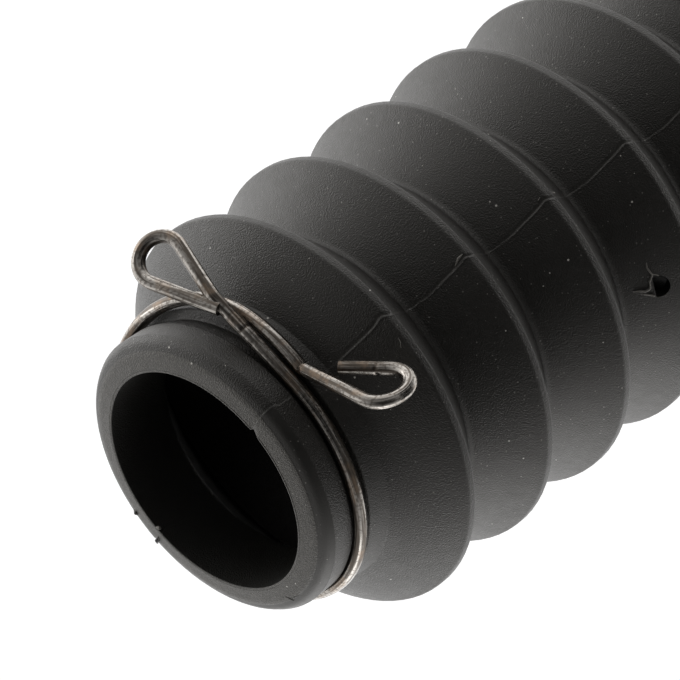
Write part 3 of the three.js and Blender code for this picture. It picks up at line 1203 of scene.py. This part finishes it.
@dataclass
class WireClip:
    """The clip of drawn spring wire that grips the neck.

    The free end runs beside the neck's shoulder, drawing away from it and dropping by strand_draw and
    strand_drop for each degree. It settles into the groove between two shares of its turn. loop_run_out is
    the angle that the other end runs straight on before its ear.
    """

    neck: NeckSizes
    length: float
    wire: float = 2.0
    seat_clearance: float = 0.3
    strand_gap: float = 0.14
    strand_draw: float = 0.028
    strand_drop: float = 0.024
    settle: tuple[float, float] = (0.06, 0.27)
    loop_run_out: float = 34.5
    turn_steps: int = 240
    ring_step: float = 0.22
    points_round: int = 28
    cuts: tuple[tuple[float, float, float], ...] = (
        (5.3, 0.4, 0.3), (32.3, 0.45, 0.2), (183.9, 0.25, 0.08), (186.3, 0.45, 0.15), (188.8, 0.2, 0.1),
        (189.6, 0.7, 0.12), (195.5, 0.3, 0.12),
    )

    @property
    def grip_radius(self) -> float:
        """The radius of the wire's middle where it grips the groove."""
        return self.neck.groove_radius + self.seat_clearance + self.wire / 2

    @property
    def grip_depth(self) -> float:
        """The depth of the wire's middle where it grips the groove."""
        return self.neck.lip_length + self.seat_clearance + self.wire / 2

    def ear_path(self, root: Vector, ear: EarShape) -> list[Vector]:
        """The middle line of one ear, from its root on the ring to its cut end.

        Args:
            root: where the ear leaves the ring.
            ear: the ear's sizes.

        Returns:
            The line's points, the bend finely divided.
        """
        splay, rise, tilt, turn = map(math.radians, (ear.splay, ear.rise, ear.tilt, ear.turn))
        up = Vector((0, 0, 1))
        outward = round_axis(ear.azimuth, 1, 0)
        onward = up.cross(outward) * ear.sense
        level = onward * math.cos(splay) + outward * math.sin(splay)
        facing = outward * math.cos(splay) - onward * math.sin(splay)
        along = level * math.cos(rise) + up * math.sin(rise)
        across = up * math.cos(tilt) - facing * math.sin(tilt)
        across = (across - along * across.dot(along)).normalized() * ear.side
        centre = root + along * ear.leg + across * ear.bend_radius
        path = [root]
        for step in range(ear.steps + 1):
            angle = turn * step / ear.steps
            path.append(centre + (along * math.sin(angle) - across * math.cos(angle)) * ear.bend_radius)
        path.append(path[-1] + (along * math.cos(turn) + across * math.sin(turn)) * ear.tail)
        return path

    def path(self) -> list[Vector]:
        """The whole middle line: hook ear, one turn in the groove, run-out, loop ear.

        Returns:
            The line's points.
        """
        hook, loop = Ear.HOOK.value, Ear.LOOP.value
        neck = self.neck
        free_radius = neck.groove_radius + neck.shoulder_root_rise + self.strand_gap + self.wire / 2
        apart = (self.wire + self.strand_gap) ** 2 - (free_radius - self.grip_radius) ** 2
        free_depth = self.grip_depth + math.sqrt(apart)
        sweep = 360 + loop.azimuth - self.loop_run_out - hook.azimuth
        settling, settled = self.settle
        turn = []
        steps = self.turn_steps
        for step in range(steps + 1):
            swept = sweep * step / steps
            ease = min(1.0, max(0.0, (step / steps - settling) / (settled - settling)))
            ease = ease * ease * (3 - 2 * ease)
            drawn = free_radius + self.strand_draw * swept
            dropped = free_depth + self.strand_drop * swept
            radius = drawn + (self.grip_radius - drawn) * ease
            depth = dropped + (self.grip_depth - dropped) * ease
            turn.append(round_axis(hook.azimuth + swept, radius, self.length - depth))
        out_radius = self.grip_radius / math.cos(math.radians(self.loop_run_out))
        crossing = round_axis(loop.azimuth, out_radius, self.length - self.grip_depth)
        return self.ear_path(turn[0], hook)[::-1] + turn[1:] + self.ear_path(crossing, loop)

    def build(self, steel: bpy.types.Material) -> bpy.types.Object:
        """Draws the clip and hands it over.

        Args:
            steel: the wire's material.

        Returns:
            The clip, riding on the part's one body in place of its CAD node.
        """
        path = self.path()
        stock = RoundStock("clip_wire", self.wire / 2, self.ring_step, self.points_round, self.cuts)
        clip = stock.draw(path, [1.0] * len(path), steel)
        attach(clip, "root")
        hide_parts("wire_clamp")
        return clip


def speck_group() -> bpy.types.NodeTree:
    """The dust group: sparse round specks scattered in cells.

    Returns:
        The group, which puts out a mask.
    """
    group = new_group("dust_specks", "ShaderNodeTree", (
        ("Vector", "INPUT", "NodeSocketVector", None),
        ("Cells per Metre", "INPUT", "NodeSocketFloat", 400.0),
        ("Share of Cells", "INPUT", "NodeSocketFloat", 0.1),
        ("Speck Radius", "INPUT", "NodeSocketFloat", 0.06),
        ("Mask", "OUTPUT", "NodeSocketFloat", None),
    ))
    sheet = NodeSheet(group)
    given = sheet.place("NodeGroupInput").outputs
    cells = sheet.place("ShaderNodeTexVoronoi", {
        "Vector": given["Vector"],
        "Scale": given["Cells per Metre"],
    })
    chance = sheet.place("ShaderNodeSeparateColor", {0: cells.outputs["Color"]})
    chosen = sheet.math("LESS_THAN", chance.outputs[0], given["Share of Cells"])
    size = sheet.math("MULTIPLY", given["Speck Radius"], sheet.math("ADD", chance.outputs[1], 0.4))
    inside = sheet.math("LESS_THAN", cells.outputs["Distance"], size)
    sheet.place("NodeGroupOutput", {0: sheet.math("MULTIPLY", chosen, inside)})
    return group


def grain_group() -> bpy.types.NodeTree:
    """The grain group: a fine grain over a slower mottle.

    Returns:
        The group, which puts out the fine grain and the mottle as values about 0.5.
    """
    group = new_group("surface_grain", "ShaderNodeTree", (
        ("Vector", "INPUT", "NodeSocketVector", None),
        ("Grain per Metre", "INPUT", "NodeSocketFloat", 4000.0),
        ("Mottle per Metre", "INPUT", "NodeSocketFloat", 300.0),
        ("Grain", "OUTPUT", "NodeSocketFloat", None),
        ("Mottle", "OUTPUT", "NodeSocketFloat", None),
    ))
    sheet = NodeSheet(group)
    given = sheet.place("NodeGroupInput").outputs
    noises = []
    for scale, detail in (("Grain per Metre", 0.3), ("Mottle per Metre", 4.0)):
        inputs = {"Vector": given["Vector"], "Scale": given[scale], "Detail": detail}
        noises.append(sheet.place("ShaderNodeTexNoise", inputs).outputs[0])
    sheet.place("NodeGroupOutput", dict(enumerate(noises)))
    return group


@dataclass(frozen=True)
class Specks:
    """One scatter of specks: cells in a metre, the share of them that hold one, and its radius in cells."""

    cells: float
    share: float
    radius: float


@dataclass(frozen=True)
class Grain:
    """One grain, as waves in a metre of its fine part and of its mottle."""

    fine: float
    mottle: float


@dataclass(frozen=True)
class SurfaceGroups:
    """The shader groups that both finishes use."""

    speck_tree: bpy.types.NodeTree
    grain_tree: bpy.types.NodeTree

    def specks(self, sheet: NodeSheet, place: object, sizes: Specks) -> bpy.types.NodeSocket:
        """Scatters specks over a material.

        Args:
            sheet: the material's sheet.
            place: the coordinates that the specks lie in.
            sizes: how many specks, and how large.

        Returns:
            The mask, 1 on a speck.
        """
        return sheet.place("ShaderNodeGroup", {
            "Vector": place,
            "Cells per Metre": sizes.cells,
            "Share of Cells": sizes.share,
            "Speck Radius": sizes.radius,
        }, node_tree=self.speck_tree).outputs["Mask"]

    def grain(self, sheet: NodeSheet, place: object, sizes: Grain) -> bpy.types.NodeOutputs:
        """Lays a grain over a material.

        Args:
            sheet: the material's sheet.
            place: the coordinates that the grain lies in.
            sizes: how fine it is.

        Returns:
            The outputs Grain and Mottle.
        """
        return sheet.place("ShaderNodeGroup", {
            "Vector": place,
            "Grain per Metre": sizes.fine,
            "Mottle per Metre": sizes.mottle,
        }, node_tree=self.grain_tree).outputs


def new_material(name: str) -> tuple[bpy.types.Material, NodeSheet]:
    """Makes an empty node material.

    Args:
        name: the material's name.

    Returns:
        The material, and the sheet of its tree.
    """
    material = bpy.data.materials.new(name)
    material.use_nodes = True
    material.node_tree.nodes.clear()
    return material, NodeSheet(material.node_tree)


@dataclass(frozen=True)
class MouldedRubber:
    """Black rubber with a fine moulded grain and a film of dust, thickest on the flat mouth.

    Pale flecks stand alone and motes are faint. Pores are small dips in the grain. The bevel round the mouth
    is smoother on the half that faces right_half, and that half is left without film as painted shade.
    relief_depth is in millimetres.
    """

    name: str
    base: tuple[float, float, float] = (0.0092, 0.0084, 0.0072)
    film: tuple[float, float, float] = (0.074, 0.069, 0.060)
    # the pale of real dust, and of the painted highlight along the flash
    dust: tuple[float, float, float] = (0.52, 0.50, 0.46)
    # painted shade: the inside of the wall, the bore and the drain hole's wall are darker than clean rubber
    # and take no film
    inside: tuple[float, float, float] = (0.0062, 0.0060, 0.0048)
    sheen_tint: tuple[float, float, float] = (1.0, 0.972, 0.93)
    right_half: tuple[float, float, float] = (-0.4772, -0.8788, 0.0)
    half_fade: float = 0.4
    grain: Grain = Grain(5000.0, 700.0)
    flecks: Specks = Specks(620.0, 0.17, 0.07)
    motes: Specks = Specks(1900.0, 0.16, 0.17)
    pores: Specks = Specks(1150.0, 0.4, 0.17)
    mottled_between: tuple[float, float] = (0.35, 0.7)
    pitted_between: tuple[float, float] = (0.4, 0.68)
    thin_film: tuple[float, float] = (0.03, 0.1)
    thick_film: tuple[float, float] = (0.35, 1.0)
    mouth_film: float = 0.9
    mote_share: float = 0.22
    # painted highlight: how far the flash is paled towards the dust colour, partly dust
    seam_dust_and_highlight: float = 0.085
    roughness: tuple[float, float] = (0.46, 0.5)
    refraction: float = 1.52
    smoothed: float = 0.75
    pore_depth: float = 0.35
    relief_depth: float = 0.09

    def material(self, groups: SurfaceGroups) -> bpy.types.Material:
        """Builds the material.

        Args:
            groups: the shared shader groups.

        Returns:
            The finished material.
        """
        material, sheet = new_material(self.name)
        place = sheet.place("ShaderNodeTexCoord").outputs["Object"]
        zones = sheet.place("ShaderNodeAttribute", attribute_name="zones").outputs["Vector"]
        inside, mouth, bevel = sheet.parts(zones)
        grain = groups.grain(sheet, place, self.grain)
        facing = sheet.vector("DOT_PRODUCT", place, self.right_half, result=1)
        # painted shade: the bevel's half towards right_half loses its film and so is darker; its relief is
        # smoother too
        smooth_shaded_half = sheet.math("MULTIPLY", sheet.span(facing, -self.half_fade * MM, 0.0), bevel)
        filmed = self.film_share(sheet, grain, mouth)
        # the film, left off where the bevel's half is painted as shade
        unshaded_film = sheet.math("MULTIPLY", filmed, sheet.math("SUBTRACT", 1.0, smooth_shaded_half))
        colour = sheet.blend(unshaded_film, (*self.base, 1), (*self.film, 1))
        # dust, and the painted highlight along the flash
        dusted_and_highlit = sheet.blend(self.dust_and_seam_highlight(sheet, groups, place), colour, (*self.dust, 1))
        # painted shade: the inside zone takes the darker inside colour
        whole = sheet.blend(inside, dusted_and_highlit, (*self.inside, 1))
        relief = sheet.math("SUBTRACT", 1.0, sheet.math("MULTIPLY", smooth_shaded_half, self.smoothed))
        pores = sheet.math("MULTIPLY", groups.specks(sheet, place, self.pores), self.pore_depth)
        pitted = sheet.math("SUBTRACT", grain["Grain"], pores)
        bump = sheet.place("ShaderNodeBump", {
            "Strength": 1.0,
            "Distance": self.relief_depth * MM,
            "Height": sheet.math("MULTIPLY", pitted, relief),
        })
        shader = sheet.place("ShaderNodeBsdfPrincipled", {
            "Base Color": whole,
            "Roughness": sheet.span(grain["Mottle"], *self.mottled_between, *self.roughness),
            "IOR": self.refraction,
            "Specular Tint": (*self.sheen_tint, 1.0),
            "Normal": bump.outputs[0],
        })
        sheet.place("ShaderNodeOutputMaterial", {0: shader.outputs[0]})
        return material

    def film_share(self, sheet: NodeSheet, grain: bpy.types.NodeOutputs,
                   mouth: bpy.types.NodeSocket) -> bpy.types.NodeSocket:
        """Works out how much of the pale film covers the rubber.

        Args:
            sheet: the material's sheet.
            grain: the outputs of the grain.
            mouth: 1 on the flat mouth.

        Returns:
            The film's share, thin all over and thick on the mouth.
        """
        pits = sheet.span(grain["Grain"], *self.pitted_between)
        cover = sheet.span(grain["Mottle"], *self.mottled_between, *self.thin_film)
        thin = sheet.math("MULTIPLY", cover, pits)
        spread = sheet.span(pits, 0.0, 1.0, *self.thick_film)
        thick = sheet.math("MULTIPLY", sheet.math("MULTIPLY", mouth, self.mouth_film), spread)
        return sheet.math("MAXIMUM", thin, thick)

    def dust_and_seam_highlight(self, sheet: NodeSheet, groups: SurfaceGroups,
                   place: bpy.types.NodeSocket) -> bpy.types.NodeSocket:
        """Works out where dust lies, as flecks and fainter motes, and where the flash is paled as a painted
        highlight.

        Args:
            sheet: the material's sheet.
            groups: the shared shader groups.
            place: the coordinates that the dust lies in.

        Returns:
            The share of dust and painted highlight.
        """
        flecks = groups.specks(sheet, place, self.flecks)
        motes = sheet.math("MULTIPLY", groups.specks(sheet, place, self.motes), self.mote_share)
        seam = sheet.place("ShaderNodeAttribute", attribute_name="seam").outputs["Fac"]
        specked = sheet.math("MAXIMUM", flecks, motes)
        # painted highlight: the flash is paled along the parting line, together with its dust
        return sheet.math("MAXIMUM", specked, sheet.math("MULTIPLY", seam, self.seam_dust_and_highlight))


@dataclass(frozen=True)
class DrawnSteel:
    """Bare drawn spring wire, streaked along its length, nicked and browned.

    stretch is how slowly the streaks change along the wire. Each pair named between gives the values of
    its noise at which that effect starts and is full. relief_depth is in millimetres.
    """

    bright: tuple[float, float, float] = (0.40, 0.375, 0.345)
    dark: tuple[float, float, float] = (0.085, 0.072, 0.060)
    copper: tuple[float, float, float] = (0.22, 0.155, 0.105)
    roughness: tuple[float, float] = (0.4, 0.2)
    stretch: float = 0.05
    streaks: Grain = Grain(4600.0, 1700.0)
    tarnish: Grain = Grain(2300.0, 380.0)
    nicks: Specks = Specks(520.0, 0.3, 0.16)
    scored_between: tuple[float, float] = (0.4, 0.6)
    coppered_between: tuple[float, float] = (0.5, 0.62)
    stained_between: tuple[float, float] = (0.5, 0.66)
    polished_between: tuple[float, float] = (0.3, 0.7)
    copper_share: float = 0.4
    stain_share: float = 0.6
    streak_depth: float = 0.8
    nick_depth: float = 0.5
    relief: float = 0.7
    relief_depth: float = 0.08

    def material(self, groups: SurfaceGroups) -> bpy.types.Material:
        """Builds the material.

        Args:
            groups: the shared shader groups.

        Returns:
            The finished material.
        """
        material, sheet = new_material("drawn_steel")
        along = sheet.place("ShaderNodeAttribute", attribute_name="along").outputs["Fac"]
        spoke = sheet.place("ShaderNodeAttribute", attribute_name="spoke").outputs["Vector"]
        cut = sheet.place("ShaderNodeAttribute", attribute_name="cut").outputs["Fac"]
        place = sheet.place("ShaderNodeTexCoord").outputs["Object"]
        run = sheet.place("ShaderNodeCombineXYZ", {2: sheet.math("MULTIPLY", along, self.stretch)}).outputs[0]
        streaks = groups.grain(sheet, sheet.vector("ADD", spoke, run), self.streaks)
        tarnish = groups.grain(sheet, place, self.tarnish)
        nicks = sheet.math("MULTIPLY", groups.specks(sheet, place, self.nicks), self.nick_depth)
        scored = sheet.span(streaks["Mottle"], *self.scored_between)
        colour = sheet.blend(scored, (*self.dark, 1), (*self.bright, 1))
        copper = sheet.span(tarnish["Mottle"], *self.coppered_between)
        coppered = sheet.math("MULTIPLY", copper, self.copper_share)
        tinted = sheet.blend(coppered, colour, (*self.copper, 1))
        stain = sheet.span(tarnish["Grain"], *self.stained_between)
        stained = sheet.math("MULTIPLY", stain, self.stain_share)
        browned = sheet.blend(sheet.math("MAXIMUM", stained, cut), tinted, (*self.dark, 1))
        slow = sheet.math("MULTIPLY", streaks["Mottle"], self.streak_depth)
        height = sheet.math("SUBTRACT", sheet.math("ADD", streaks["Grain"], slow), nicks)
        bump = sheet.place("ShaderNodeBump", {
            "Strength": self.relief,
            "Distance": self.relief_depth * MM,
            "Height": height,
        })
        shader = sheet.place("ShaderNodeBsdfPrincipled", {
            "Base Color": browned,
            "Metallic": 1.0,
            "Roughness": sheet.span(streaks["Mottle"], *self.polished_between, *self.roughness),
            "Normal": bump.outputs[0],
        })
        sheet.place("ShaderNodeOutputMaterial", {0: shader.outputs[0]})
        return material


@dataclass(frozen=True)
class PhotoCamera:
    """The camera at the photograph's viewing angle. Its place is in metres, its lens in millimetres."""

    location: tuple[float, float, float] = (0.384096, -0.278066, 0.461254)
    forward: tuple[float, float, float] = (-0.66889, 0.49496, -0.55462)
    upward: tuple[float, float, float] = (0.7432, 0.4628, -0.4833)
    lens: float = 210.618
    sensor: float = 36.0
    clip: tuple[float, float] = (0.05, 20.0)

    def place(self) -> bpy.types.Object:
        """Makes the camera and gives it to the scene.

        Returns:
            The camera.
        """
        view = bpy.data.cameras.new("photo_camera")
        view.lens = self.lens
        view.sensor_width = self.sensor
        view.clip_start, view.clip_end = self.clip
        camera = place_object("photo_camera", view)
        back = -Vector(self.forward).normalized()
        right = Vector(self.upward).cross(back).normalized()
        turned = Matrix((right, back.cross(right), back)).transposed().to_4x4()
        camera.matrix_world = Matrix.Translation(self.location) @ turned
        bpy.context.scene.camera = camera
        return camera


@dataclass(frozen=True)
class Softbox:
    """A large soft lamp, by its direction from the gaiter in degrees and its distance in metres."""

    name: str
    azimuth: float
    elevation: float
    distance: float
    width: float
    height: float
    power: float

    def hang(self, aim: Vector) -> bpy.types.Object:
        """Makes the lamp and turns it to the aim.

        Args:
            aim: the point that it lights.

        Returns:
            The lamp.
        """
        light = bpy.data.lights.new(self.name, "AREA")
        light.shape = "RECTANGLE"
        light.size = self.width
        light.size_y = self.height
        light.energy = self.power
        lamp = place_object(self.name, light)
        way = heading(self.azimuth, self.elevation)
        lamp.location = aim + way * self.distance
        lamp.rotation_euler = way.to_track_quat("Z", "Y").to_euler()
        return lamp


@dataclass(frozen=True)
class DarkSide:
    """A dark part of the surround: its middle in degrees, and the cosines between which it fades in."""

    azimuth: float
    elevation: float
    fade: tuple[float, float]
    eased: bool

    def mask(self, sheet: NodeSheet, way: object) -> bpy.types.NodeSocket:
        """How far a direction looks into the dark.

        Args:
            sheet: the tree being laid out.
            way: the direction's socket.

        Returns:
            The share of darkness, from 0 to 1.
        """
        middle = heading(self.azimuth, self.elevation)
        facing = sheet.vector("DOT_PRODUCT", sheet.vector("NORMALIZE", way), middle, result=1)
        kind = "SMOOTHSTEP" if self.eased else "LINEAR"
        inputs = {0: facing, 1: self.fade[0], 2: self.fade[1]}
        return sheet.place("ShaderNodeMapRange", inputs, interpolation_type=kind).outputs[0]


@dataclass
class Studio:
    """A white surround with a dark side that the camera doesn't see, a pale floor and soft lamps.

    Lengths are in metres. floor_tones are the paper's shades in the dark and in the light, floor_glow its
    glow for the camera and for other rays, and surround the world's strength in the dark and in the light.
    """

    floor_radius: float = 1.5
    floor_sides: int = 96
    floor_drop: float = 0.0002
    floor_tones: tuple[float, float] = (0.03, 0.8)
    floor_glow: tuple[float, float] = (0.48, 1.15)
    floor_dims_between: tuple[float, float] = (0.06, 0.25)
    surround: tuple[float, float] = (0.02, 1.4)
    dark_sky: DarkSide = DarkSide(-52.0, 45.0, (-0.15, 0.93), False)
    dark_floor: DarkSide = DarkSide(-52.0, 5.0, (0.25, 0.82), True)
    aim: tuple[float, float, float] = (0.0, 0.0, 0.12)
    lamps: tuple[Softbox, ...] = (
        Softbox("left_softbox", 88, 12, 1.9, 1.3, 1.3, 11.5),
        Softbox("right_softbox", -160, 8, 1.9, 1.3, 1.3, 9.5),
    )

    def floor(self) -> bpy.types.Object:
        """Lays the floor as a wide disc under the gaiter, darker towards the dark side.

        Returns:
            The floor.
        """
        form = bmesh.new()
        drop = Matrix.Translation((0, 0, -self.floor_drop))
        bmesh.ops.create_circle(form, cap_ends=True, segments=self.floor_sides, radius=self.floor_radius,
                                matrix=drop)
        mesh = bpy.data.meshes.new("studio_floor")
        form.to_mesh(mesh)
        form.free()
        material, sheet = new_material("floor_paper")
        ray = sheet.place("ShaderNodeLightPath").outputs
        place = sheet.place("ShaderNodeTexCoord").outputs["Object"]
        far_out = sheet.span(sheet.vector("LENGTH", place, result=1), *self.floor_dims_between)
        shade = sheet.math("MULTIPLY", self.dark_floor.mask(sheet, place), far_out)
        light = sheet.math("MAXIMUM", ray["Is Camera Ray"], sheet.math("SUBTRACT", 1.0, shade))
        colour = sheet.blend(light, *((tone, tone, tone, 1) for tone in self.floor_tones))
        paper = sheet.place("ShaderNodeBsdfDiffuse", {"Color": colour})
        seen, unseen = self.floor_glow
        strength = sheet.place("ShaderNodeMapRange", {0: ray["Is Camera Ray"], 3: unseen, 4: seen}).outputs[0]
        glow = sheet.place("ShaderNodeEmission", {"Strength": sheet.math("MULTIPLY", light, strength)})
        both = sheet.place("ShaderNodeAddShader", {0: paper.outputs[0], 1: glow.outputs[0]})
        sheet.place("ShaderNodeOutputMaterial", {0: both.outputs[0]})
        mesh.materials.append(material)
        floor = place_object("studio_floor", mesh)
        return floor

    def sky(self) -> None:
        """Makes the world white all round, but for the dark side, which the camera doesn't see."""
        world = bpy.data.worlds.new("studio_world")
        world.use_nodes = True
        world.node_tree.nodes.clear()
        sheet = NodeSheet(world.node_tree)
        seen = sheet.place("ShaderNodeLightPath").outputs["Is Camera Ray"]
        way = sheet.place("ShaderNodeTexCoord").outputs["Generated"]
        dim, bright = self.surround
        shade = {0: self.dark_sky.mask(sheet, way), 3: bright, 4: dim}
        level = sheet.place("ShaderNodeMapRange", shade).outputs[0]
        unseen = sheet.math("MULTIPLY", level, sheet.math("SUBTRACT", 1.0, seen))
        strength = sheet.math("ADD", seen, unseen)
        light = sheet.place("ShaderNodeBackground", {"Color": (1, 1, 1, 1), "Strength": strength})
        sheet.place("ShaderNodeOutputWorld", {0: light.outputs[0]})
        bpy.context.scene.world = world

    def build(self) -> None:
        """Lays the floor, lights the world and hangs the lamps."""
        self.floor()
        self.sky()
        for lamp in self.lamps:
            lamp.hang(Vector(self.aim))
        bpy.context.scene.view_settings.view_transform = "Standard"


def main() -> None:
    """Builds the camera, the studio and every piece of the gaiter in order."""
    logging.basicConfig(level=logging.INFO, format="%(name)s: %(message)s")
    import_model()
    PhotoCamera().place()
    Studio().build()
    groups = SurfaceGroups(speck_group(), grain_group())
    boot = BellowsBoot()
    rubber = MouldedRubber("moulded_rubber").material(groups)
    torn = MouldedRubber("torn_rubber", (0.16, 0.15, 0.135), (0.32, 0.30, 0.27)).material(groups)
    steel = DrawnSteel().material(groups)
    pieces = [boot.build(rubber, torn), WireClip(boot.neck, boot.length).build(steel)]
    for piece in pieces:
        piece.data.calc_loop_triangles()
        log.info("%s: %d triangles", piece.name, len(piece.data.loop_triangles))


if __name__ == "__main__":
    main()
